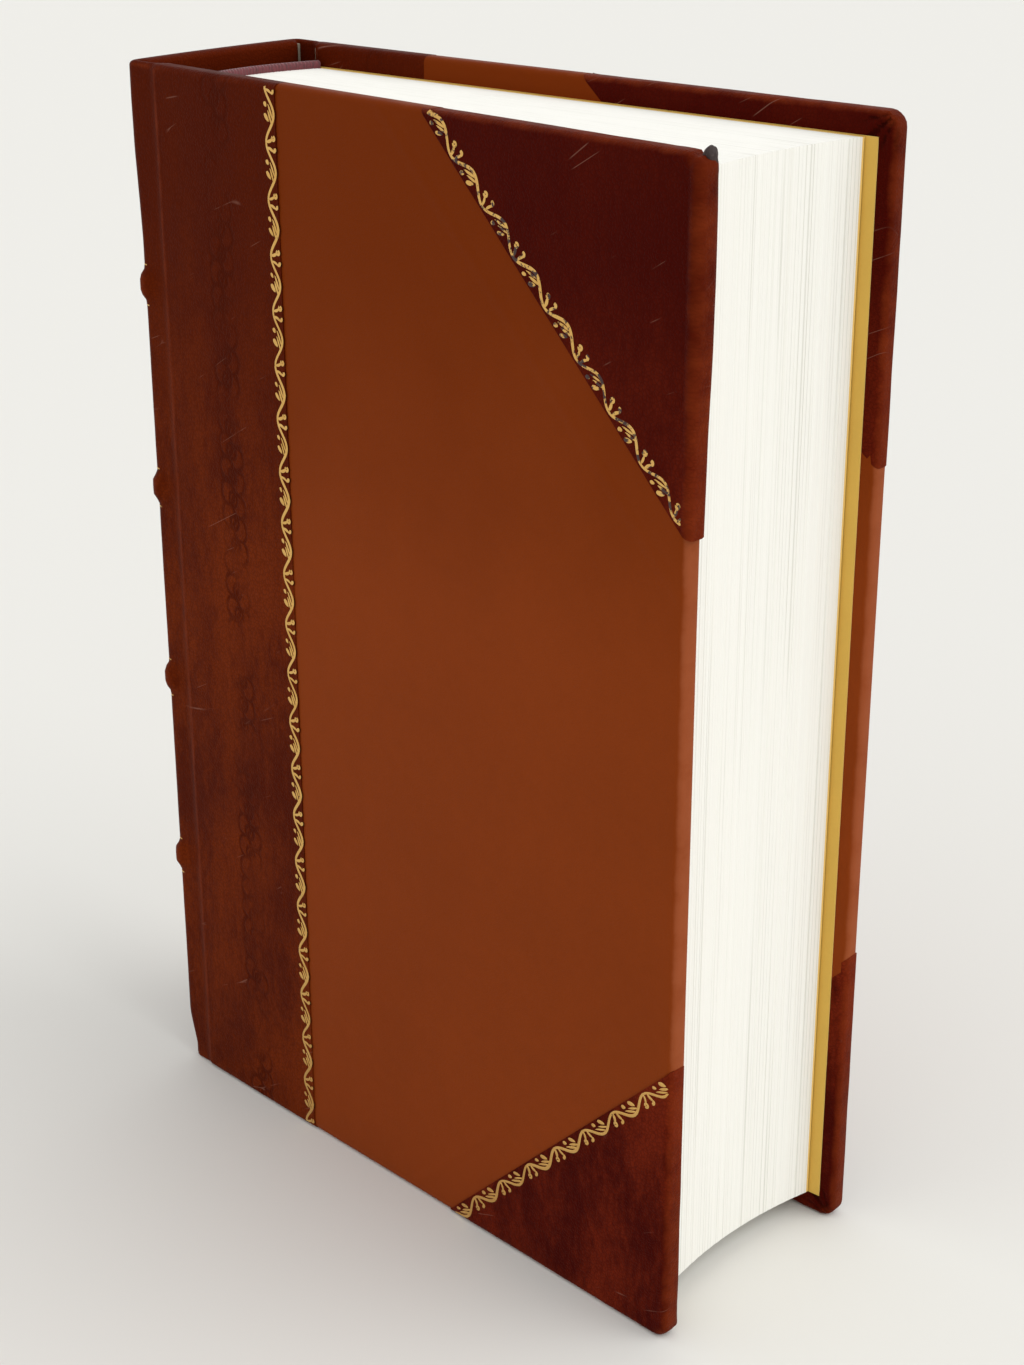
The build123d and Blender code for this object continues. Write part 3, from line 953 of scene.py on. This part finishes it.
def nub_mesh():
    """Hard little knot of gathered leather, worn dark, at the tip of the front head corner."""
    size = sizes()
    bm = bmesh.new()
    bmesh.ops.create_icosphere(bm, subdivisions=4, radius=1.0)
    middle = Vector((size.width + 0.1 * MM, 3.5 * MM, COVER_HEIGHT - 1.3 * MM))
    flats = []
    for vert in bm.verts:
        lumps = 1 + 0.22 * wobble(vert.co, 0.9, 4.0) + 0.10 * wobble(vert.co, 0.35, 9.0)
        spot = middle + Vector((vert.co.x * 1.2, vert.co.y * 1.3, vert.co.z * 2.1)) * lumps * MM
        flats.append(spot)
        vert.co = on_cover("front", spot)
    mesh = bpy.data.meshes.new("nub")
    bm.to_mesh(mesh)
    bm.free()
    set_attribute(mesh, "flat", flats, "FLOAT_VECTOR")
    return mesh


def nub_material():
    """Blackened leather with bare grey flecks."""
    material, w, shader = new_material("worn_knot_finish")
    place = flat_place(w)
    flecks = w.ramp(w.noise(place, 0.0012, 3.0), 0.56, 0.66)
    w.feed(shader["Base Color"], w.blend(flecks, (0.022, 0.008, 0.006, 1), (0.14, 0.10, 0.09, 1)))
    w.feed(shader["Normal"], bump(w, w.noise(place, 0.0005), 0.0001, 0.8))
    shader["Roughness"].default_value = 0.6
    return material


def side_shell(side):
    """Side panel of a cover, running under the edges of the leather."""
    size = sizes()
    under = 1.6 * MM
    bm = covered_plate(flap_width(side) - under, size.side_step)
    lines = [corner_line(side, end) for end in ("head", "tail")]
    for place, direction in lines:
        cut(bm, place + direction * under, direction, clear=True)
    slice_grid(bm, 3 * MM, (flap_width(side), 0, 0), (size.width, 0, COVER_HEIGHT))
    open_inside(bm)

    def shape(spot):
        return 0.05 * MM * wobble((spot.x, 0, spot.z), 30 * MM, 5.0)

    def wear(spot):
        fore_edge = 0.8 * (1 - smooth(size.width - spot.x, 0.1 * MM, 1.4 * MM))
        return max(fore_edge, 0.3 * (1 - smooth(edge_distance(spot), 0.1 * MM, 1.2 * MM)))

    bm.normal_update()
    distances = []
    for vert in bm.verts:
        gaps = [(place - vert.co).dot(direction) for place, direction in lines]
        distances.append(min(gaps[0], gaps[1]))
    mesh = plate_mesh(bm, side, shape, wear)
    set_attribute(mesh, "under", distances)
    return thickened(mesh, 0.3 * MM)


# ---- Gold tooling ----

def edge_fall(distance):
    """How far the rounded board edge falls away at a distance from the edge."""
    rounding = sizes().edge_round
    into = min(max(rounding - distance, 0.0), 0.98 * rounding)
    return rounding - math.sqrt(rounding ** 2 - into ** 2)


def cover_surface(side):
    """Function from (s, z, lift) to a place on the outer leather of a cover."""
    def place(s, z, lift):
        fall = edge_fall(min(z, COVER_HEIGHT - z)) + edge_fall(sizes().width - s)
        return on_cover(side, (s, fall - leather_swell(s, z) - lift, z))
    return place


def curve(start, bend, end, count=8):
    """Points of a simple bent stroke."""
    points = []
    for step in range(count + 1):
        share = step / count
        points.append(tuple((1 - share) ** 2 * a + 2 * share * (1 - share) * b + share ** 2 * c
                            for a, b, c in zip(start, bend, end)))
    return points


def ring(middle, radius, pitch):
    """Points of a small curl that closes on itself."""
    points = []
    for step in range(12):
        angle = math.radians(200 + 330 * step / 11)
        points.append((middle[0] + radius * math.cos(angle) / pitch,
                       middle[1] + radius * math.sin(angle)))
    return points


def vine_strokes(repeat, pitch, half):
    """Strokes of one repeat of the vine. Each is (points, widths), along the roll and across it."""
    def stem(share):
        return -half * math.cos(2 * math.pi * share)

    def tapered(points, widest, first=0.25, last=0.6):
        count = len(points) - 1
        widths = []
        for step in range(count + 1):
            share = step / count
            end = first if share < 0.5 else last
            widths.append(sizes().stroke * widest * (end + (1 - end) * math.sin(math.pi * share) ** 0.7))
        return [((repeat + along) * pitch, across) for along, across in points], widths

    wave = [(step / 28, stem(step / 28)) for step in range(29)]
    strokes = [tapered(wave, 0.52 * MM, 0.75, 0.75)]
    curl = ring((-0.09, 0.72 * half), 0.30 * half, pitch)

    def bent(start, bend, end, widest, *ends):
        strokes.append(tapered(curve(start, bend, end), widest * MM, *ends))

    # sprig with a closed curl, then sprig with an open hook
    bent((-0.015, stem(0.0)), (-0.02, -0.1 * half), (-0.075, 0.38 * half), 0.50)
    strokes.append(tapered(curl, 0.42 * MM, 0.8, 0.9))
    bent((0.085, stem(0.07)), (0.09, 0.1 * half), (0.135, 0.55 * half), 0.46)
    bent((0.135, 0.55 * half), (0.14, 1.15 * half), (0.075, 1.0 * half), 0.55, 0.6, 0.8)
    # two buds below the stem
    bent((0.30, -1.12 * half), (0.33, -1.0 * half), (0.38, -0.62 * half), 0.62, 0.5, 0.1)
    bent((0.50, -1.15 * half), (0.55, -0.9 * half), (0.63, -0.15 * half), 0.68, 0.5, 0.1)
    # two fine lines along its rise
    bent((0.33, -0.25 * half), (0.46, 0.25 * half), (0.58, 0.72 * half), 0.40, 0.2, 0.4)
    bent((0.44, -0.35 * half), (0.55, 0.05 * half), (0.66, 0.38 * half), 0.40, 0.2, 0.4)
    return strokes


def add_ribbon(parts, points, widths, place, lift, material_index):
    """Add a low domed ribbon, closed all round, that follows a surface."""
    verts, faces, kinds = parts["verts"], parts["faces"], parts["kinds"]
    first = len(verts)
    for index, (along, across) in enumerate(points):
        before, after = points[max(index - 1, 0)], points[min(index + 1, len(points) - 1)]
        step = Vector((after[0] - before[0], after[1] - before[1]))
        step = step.normalized() if step.length else Vector((1, 0))
        half = widths[index] / 2
        verts.append(place(along + step.y * half, across - step.x * half, -0.04 * MM))
        verts.append(place(along, across, lift))
        verts.append(place(along - step.y * half, across + step.x * half, -0.04 * MM))
    for index in range(len(points) - 1):
        a, b = first + 3 * index, first + 3 * (index + 1)
        for low, high in ((0, 1), (1, 2), (2, 0)):
            faces.append((a + low, a + high, b + high, b + low))
            kinds.append(material_index)
    last = first + 3 * (len(points) - 1)
    faces.extend([(first + 2, first + 1, first), (last, last + 1, last + 2)])
    kinds.extend([material_index] * 2)


def ribbons_mesh(parts):
    """Mesh of all ribbons. Each face keeps the material that it was added with."""
    mesh = bpy.data.meshes.new("ribbons")
    mesh.from_pydata(parts["verts"], [], parts["faces"])
    mesh.polygons.foreach_set("material_index", parts["kinds"])
    bm = bmesh.new()
    bm.from_mesh(mesh)
    bmesh.ops.recalc_face_normals(bm, faces=bm.faces[:])
    bm.to_mesh(mesh)
    bm.free()
    set_attribute(mesh, "flat", parts["verts"], "FLOAT_VECTOR")
    return mesh


def burnish_and_shade_material():
    """Dark ground round the gold: leather burnished by the hot tool, with painted shade of the impression."""
    if "burnish_and_shade_leather_finish" in bpy.data.materials:
        return bpy.data.materials["burnish_and_shade_leather_finish"]
    material, w, shader = new_material("burnish_and_shade_leather_finish")
    place = flat_place(w)
    grain = w.use(effect("grain"), Vector=place, Pebble=0.0006)
    # painted shade in the grain creases
    w.feed(shader["Base Color"], w.blend(grain["Creases"], (0.045, 0.006, 0.0015, 1),
                                         (0.018, 0.002, 0.001, 1)))
    w.feed(shader["Normal"], bump(w, grain["Height"], 0.00004, 0.6))
    shader["Roughness"].default_value = 0.5
    dull_sheen(shader, 0.06, (1.0, 0.45, 0.25, 1))
    return material


def within_cover(points, widths, room):
    """Longest unbroken part of a stroke that lies on the cover."""
    best, current = [], []
    for point, width in zip(points, widths):
        if room(point) > 0:
            current.append((point, width))
        else:
            current = []
        if len(current) > len(best):
            best = list(current)
    return best


def vine_mesh(side, start, direction, across, run, wear):
    """Vine rolled along a straight line on a cover. Directions are in (s, z)."""
    size = sizes()
    surface = cover_surface(side)
    random.seed(41)

    def place(along, offset, lift):
        s = start[0] + direction[0] * along + across[0] * offset
        z = start[1] + direction[1] * along + across[1] * offset
        return surface(s, z, lift)

    def outline(point):
        s = start[0] + direction[0] * point[0] + across[0] * point[1]
        z = start[1] + direction[1] * point[0] + across[1] * point[1]
        return min(size.width - s, z, COVER_HEIGHT - z) - 0.45 * MM

    parts = {"verts": [], "faces": [], "kinds": []}
    repeats = math.ceil(run / size.vine_pitch) + 2
    for repeat in range(repeats):
        for points, widths in vine_strokes(repeat - 1, size.vine_pitch, size.vine_half):
            kept = within_cover(points, widths, outline)
            if len(kept) < 3:
                continue
            points = [point for point, width in kept]
            uneven = random.uniform(0.85, 1.15)
            gold = [width * uneven for point, width in kept]
            # dark ground round the gold: burnish of the hot tool and painted shade of the impression
            pressed = [width + 0.30 * MM for width in gold]
            add_ribbon(parts, points, gold, place, 0.10 * MM, 0)
            add_ribbon(parts, points, pressed, place, 0.03 * MM, 1)
    mesh = ribbons_mesh(parts)
    set_attribute(mesh, "wear", [wear] * len(mesh.vertices))
    return mesh


def add_vine(name, side, start, direction, across, run, wear):
    """Add one run of the gold vine with its dark ground, burnished by the tool and with painted shade."""
    mesh = vine_mesh(side, start, direction, across, run, wear)
    piece = add_piece(name, mesh, gold_material(), BODY[side])
    piece.data.materials.append(burnish_and_shade_material())
    return piece


def band_lines_mesh():
    """Thin gold lines above and below each raised band."""
    size = sizes()
    parts = {"verts": [], "faces": [], "kinds": []}
    for side in SIDES:
        profile = spine_profile(side)
        normals = [profile_normal(profile, index) for index in range(len(profile))]
        kept = [index for index, point in enumerate(profile) if point[0] < -6.7 * MM]
        hinge_along = next(point[3] for point in profile if point[0] > 0)
        for level in BAND_LEVELS:
            for offset in (-0.56, 0.56):
                z = level + offset * size.band_width

                def place(along, across, lift):
                    share = min(max(along, 0), len(kept) - 1)
                    index = min(int(share), len(kept) - 2)
                    part = share - index
                    first, second = profile[index], profile[index + 1]
                    x = first[0] + (second[0] - first[0]) * part
                    depth = first[1] + (second[1] - first[1]) * part
                    inward = normals[index].lerp(normals[index + 1], part)
                    s = first[3] + (second[3] - first[3]) * part - hinge_along
                    high = z + across
                    out = lift + leather_swell(s, high) + size.band_height * band_swell(high)
                    place_x = x - inward.x * out + spine_shift(x, high)
                    return beside_hinge(side, (place_x, depth - inward.y * out, high))

                points = [(index, 0.0) for index in range(len(kept))]
                add_ribbon(parts, points, [0.45 * MM] * len(points), place, 0.07 * MM, 0)
    mesh = ribbons_mesh(parts)
    set_attribute(mesh, "wear", [0.5] * len(mesh.vertices))
    return mesh


# ---- Pages, headbands and endpapers ----

def page_block_mesh():
    """Leaves of the book: cut edges at head, tail and fore-edge, fanned out from the back."""
    size = sizes()
    random.seed(7)
    low, high = BLOCK_LOW, BLOCK_HIGH
    back = HINGE["front"].x + 1.0 * MM
    fore = high.x
    inset = 5.52 * MM
    half_back = HALF_SPACING - inset + (back - HINGE["front"].x) * math.tan(size.splay)
    half_fore = HALF_SPACING - inset + (fore - HINGE["front"].x) * math.tan(size.splay)
    columns, flats, leaf_at, lines = [], [], [], []
    for leaf in range(LEAVES + 1):
        share = 2 * leaf / LEAVES - 1
        middle = 1 - share ** 2
        jitter = 0.05 * MM * random.uniform(-1, 1) * (leaf not in (0, LEAVES))
        fore_x = fore - size.hollow * middle + jitter
        back_x = low.x + (back - low.x) * (1 - middle)
        top = high.z + 0.03 * MM * random.uniform(-1, 1)
        tail = low.z + 0.03 * MM * random.uniform(-1, 1)
        column = []

        def add(x, z, line):
            reach = (x - back_x) / (fore_x - back_x)
            y = share * (half_back + (half_fore - half_back) * reach)
            column.append((x, y, z))
            flats.append((x, y, z))
            leaf_at.append(leaf / LEAVES)
            lines.append(line)

        for step in range(9):
            add(back_x + (fore_x - back_x) * step / 9, top, 0.35)
        for step in range(17):
            z = top + (tail - top) * step / 16
            add(fore_x + 0.03 * MM * wobble((share, 0, z), 20 * MM, leaf), z, 1.0)
        for step in range(1, 9):
            add(fore_x + (back_x - fore_x) * step / 9, tail, 0.5)
        for step in range(4):
            add(back_x, tail + (top - tail) * step / 4, 0.5)
        columns.append(column)
    mesh = closed_tube(columns)
    set_attribute(mesh, "flat", flats, "FLOAT_VECTOR")
    set_attribute(mesh, "leaf", leaf_at)
    set_attribute(mesh, "lines", lines)
    return mesh


def headband_mesh(node, up):
    """Thread-wound bead on a tape, following the rounded back of the leaves."""
    low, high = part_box(node)
    half = (high.y - low.y) / 2
    bead_level = high.z - 0.9 * MM if up > 0 else low.z + 0.9 * MM
    far = low.z if up > 0 else high.z
    edge = low.x + (high.x - low.x) * 0.75
    columns, flats = [], []
    steps = 260
    for step in range(steps + 1):
        y = -half + 2 * half * step / steps
        x = low.x + (edge - low.x) * (y / half) ** 2 + 1.0 * MM
        wound = 0.82 * MM * (0.86 + 0.14 * abs(math.sin(y / MM * math.pi / 0.8)))
        column = [(x - 0.25 * MM, y, far)]
        for turn in range(11):
            angle = math.radians(-110 - 320 * turn / 10)
            column.append((x - wound * math.sin(angle), y, bead_level - up * wound * math.cos(angle)))
        column.append((x + 0.15 * MM, y, far))
        columns.append(column)
        flats.extend(column)
    mesh = closed_tube(columns)
    set_attribute(mesh, "flat", flats, "FLOAT_VECTOR")
    return mesh


def endpaper_fold_mesh(side):
    """Fold of the endpaper across the inner joint, from pastedown to flyleaf."""
    columns = []
    low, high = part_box(f"{side}_pastedown")
    steps = 14
    for step in range(steps + 1):
        share = step / steps
        s = 3.2 * MM - 3.0 * MM * math.sin(math.pi * share)
        n = (4.62 + 0.42 * share) * MM
        columns.append([on_cover(side, (s, n, low.z + (high.z - low.z) * row / 12)) for row in range(13)])
    mesh = grid_mesh(columns)
    if side == "back":
        mesh.flip_normals()
    return thickened(mesh, ENDPAPER_THICK)


# ---- Operators ----

class BOOK_OT_spine_leather(bpy.types.Operator):
    """Spine leather with its raised bands and flaps, turned in at head and tail"""
    bl_idname = "book.spine_leather"
    bl_label = "Spine Leather"

    def execute(self, context):
        for side in SIDES:
            piece = add_piece(side + "_spine_leather", spine_half(side), spine_leather_material())
            start = beside_hinge(side, (BEND_START, 0, 0))
            end = beside_hinge(side, (BEND_END, 0, 0))
            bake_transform(piece)
            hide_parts("spine_leather", side + "_leather_flap")
        return {"FINISHED"}


class BOOK_OT_corners(bpy.types.Operator):
    """Leather corners with their gathered turn-ins"""
    bl_idname = "book.corners"
    bl_label = "Leather Corners"

    def execute(self, context):
        for side in SIDES:
            for end in ("head", "tail"):
                name = f"{side}_{end}_corner"
                piece = add_piece(name + "_leather", corner_shell(side, end), corner_leather_material(),
                                  BODY[side])
                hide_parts(name)
        add_piece("front_head_corner_knot", nub_mesh(), nub_material(), BODY["front"])
        return {"FINISHED"}


class BOOK_OT_side_panels(bpy.types.Operator):
    """Side panels between the spine leather and the corners"""
    bl_idname = "book.side_panels"
    bl_label = "Side Panels"

    def execute(self, context):
        for side in SIDES:
            piece = add_piece(side + "_side_covering", side_shell(side), side_material(), BODY[side])
            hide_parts(side + "_side_panel")
        return {"FINISHED"}


class BOOK_OT_gold(bpy.types.Operator):
    """Gold vine along the leather edges and gold lines beside the raised bands"""
    bl_idname = "book.gold"
    bl_label = "Gold Tooling"

    def execute(self, context):
        size = sizes()
        inset = size.vine_inset
        for side in SIDES:
            place = flap_width(side) - inset + 0.3 * MM
            add_vine(side + "_flap_vine", side, (place, COVER_HEIGHT - 0.3 * MM), (0, -1), (1, 0),
                     COVER_HEIGHT - 0.6 * MM, 0.1)
            for end, wear in (("head", 1.0), ("tail", 0.0)):
                along_end, along_edge = corner_legs(side, end)
                start, tip = corner_line(side, end)
                up = 1 if end == "head" else -1
                run = math.hypot(along_end, along_edge) - 0.5 * MM
                direction = (along_end / math.hypot(along_end, along_edge),
                             -up * along_edge / math.hypot(along_end, along_edge))
                inner = (start.x + tip.x * inset, start.z + tip.z * inset)
                begin = (inner[0] + direction[0] * 0.3 * MM, inner[1] + direction[1] * 0.3 * MM)
                add_vine(f"{side}_{end}_corner_vine", side, begin, direction, (tip.x, tip.z), run, wear)
        add_piece("spine_gold_lines", band_lines_mesh(), gold_material(), "block")
        return {"FINISHED"}


class BOOK_OT_pages(bpy.types.Operator):
    """Leaves with cut edges, and the headbands at their back"""
    bl_idname = "book.pages"
    bl_label = "Pages and Headbands"

    def execute(self, context):
        piece = add_piece("page_block", page_block_mesh(), page_material(), "block")
        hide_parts("text_block")
        silk = silk_material()
        for node, up in (("headband", 1), ("tailband", -1)):
            band = add_piece(node + "_thread", headband_mesh(node, up), silk, "block")
            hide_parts(node)
        return {"FINISHED"}


class BOOK_OT_endpapers(bpy.types.Operator):
    """Endpaper folds across the inner joints, and the finish of all endpapers"""
    bl_idname = "book.endpapers"
    bl_label = "Endpapers"

    def execute(self, context):
        paper = endpaper_material()
        for side in SIDES:
            fold = add_piece(side + "_endpaper_fold", endpaper_fold_mesh(side), paper)
            start = on_cover(side, (1 * MM, 5.0 * MM, 0))
            end = on_cover(side, (1 * MM, 4.66 * MM, 0))
            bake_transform(fold)
            for part in ("_pastedown", "_flyleaf"):
                repaint(side + part, paper)
        return {"FINISHED"}


def repaint(node, material):
    """Give a node of the frame another finish. Its shape stays as it is."""
    mesh = frame["nodes"][node].data
    mesh.materials.clear()
    mesh.materials.append(material)


class BOOK_OT_boards(bpy.types.Operator):
    """Finish of the boards and of the stiffening inside the spine"""
    bl_idname = "book.boards"
    bl_label = "Boards and Linings"

    def execute(self, context):
        board = fibre_material("board_finish", tuple(colours().board), 0.0012, 0.9)
        for node in ("front_board", "back_board", "spine_stiffener"):
            repaint(node, board)
        cord = fibre_material("cord_finish", (0.36, 0.22, 0.12, 1), 0.0008, 0.85)
        for band in BANDS:
            repaint(band, cord)
        repaint("spine_lining", weave_material())
        return {"FINISHED"}


def soft_floor(radius):
    """Level round floor with a finely divided middle."""
    verts, faces = [(0.0, 0.0, 0.0)], []
    rings, spokes = 12, 64
    for step in range(1, rings + 1):
        reach = radius * (step / rings) ** 2
        for spoke in range(spokes):
            angle = 2 * math.pi * spoke / spokes
            verts.append((reach * math.cos(angle), reach * math.sin(angle), 0.0))
    for spoke in range(spokes):
        faces.append((0, 1 + spoke, 1 + (spoke + 1) % spokes))
    for step in range(rings - 1):
        for spoke in range(spokes):
            a, b = 1 + step * spokes + spoke, 1 + step * spokes + (spoke + 1) % spokes
            faces.append((a, a + spokes, b + spokes, b))
    mesh = bpy.data.meshes.new("floor")
    mesh.from_pydata(verts, [], faces)
    floor = bpy.data.objects.new("floor", mesh)
    bpy.context.scene.collection.objects.link(floor)
    return floor


def floor_material():
    """Plain pale table top."""
    material, _, shader = new_material("floor_finish")
    shader["Base Color"].default_value = tuple(colours().floor)
    shader["Roughness"].default_value = 0.7
    shader["Specular IOR Level"].default_value = 0.2
    return material


def white_surround():
    """Even light from all round, and a plain pale background."""
    world = bpy.data.worlds.new("surround")
    world.use_nodes = True
    bpy.context.scene.world = world
    w = Wiring(world.node_tree)
    background = world.node_tree.nodes["Background"]
    rays = w.add("ShaderNodeLightPath").outputs
    lit = w.add("ShaderNodeMix", data_type="RGBA")
    w.feed(lit.inputs["Factor"], rays["Is Camera Ray"])
    w.feed(lit.inputs[6], (0.87, 0.87, 0.87, 1))
    w.feed(lit.inputs[7], (0.85, 0.845, 0.83, 1))
    w.feed(background.inputs["Color"], lit.outputs[2])


class BOOK_OT_stage(bpy.types.Operator):
    """Pale floor, soft studio light and the camera"""
    bl_idname = "book.stage"
    bl_label = "Studio"

    def execute(self, context):
        floor = soft_floor(9.0)
        floor.data.materials.append(floor_material())
        white_surround()
        sun = bpy.data.objects.new("soft_key", bpy.data.lights.new("soft_key", "SUN"))
        sun.data.energy = 1.0
        sun.data.angle = math.radians(50)
        sun.rotation_euler = Vector((0.90, 0.30, 1.0)).to_track_quat("Z", "Y").to_euler()
        camera = bpy.data.objects.new("camera", bpy.data.cameras.new("camera"))
        camera.data.lens = 62.44
        camera.location = Vector((313.7, -326.3, 295.6)) * MM
        yaw, pitch, roll = math.radians(-43.05), math.radians(-22.43), math.radians(-0.13)
        ahead = Vector((math.cos(pitch) * math.sin(yaw), math.cos(pitch) * math.cos(yaw), math.sin(pitch)))
        level = ahead.to_track_quat("-Z", "Y").to_matrix()
        camera.rotation_euler = (level @ Matrix.Rotation(roll, 3, "Z")).to_euler()
        for item in (sun, camera):
            context.scene.collection.objects.link(item)
        context.scene.camera = camera
        context.scene.view_settings.view_transform = "Standard"
        return {"FINISHED"}


OPERATORS = (BOOK_OT_spine_leather, BOOK_OT_corners, BOOK_OT_side_panels, BOOK_OT_gold, BOOK_OT_pages,
             BOOK_OT_endpapers, BOOK_OT_boards, BOOK_OT_stage)


class BOOK_PT_panel(bpy.types.Panel):
    """Pieces of the book"""
    bl_idname = "BOOK_PT_panel"
    bl_label = "Book"
    bl_space_type = "VIEW_3D"
    bl_region_type = "UI"
    bl_category = "Book"

    def draw(self, context):
        for operator in OPERATORS:
            self.layout.operator(operator.bl_idname)
        for group in (context.scene.book_sizes, context.scene.book_colours):
            box = self.layout.box()
            for name in group.bl_rna.properties.keys():
                if name not in ("rna_type", "name"):
                    box.prop(group, name)


CLASSES = (BookSizes, BookColours, *OPERATORS, BOOK_PT_panel)


def register():
    for item in CLASSES:
        bpy.utils.register_class(item)
    bpy.types.Scene.book_sizes = bpy.props.PointerProperty(type=BookSizes)
    bpy.types.Scene.book_colours = bpy.props.PointerProperty(type=BookColours)


def unregister():
    del bpy.types.Scene.book_colours
    del bpy.types.Scene.book_sizes
    for item in reversed(CLASSES):
        bpy.utils.unregister_class(item)


def main():
    register()
    for operator in OPERATORS:
        group, name = operator.bl_idname.split(".")
        getattr(getattr(bpy.ops, group), name)()
    bpy.context.view_layer.update()


if __name__ == "__main__":
    main()
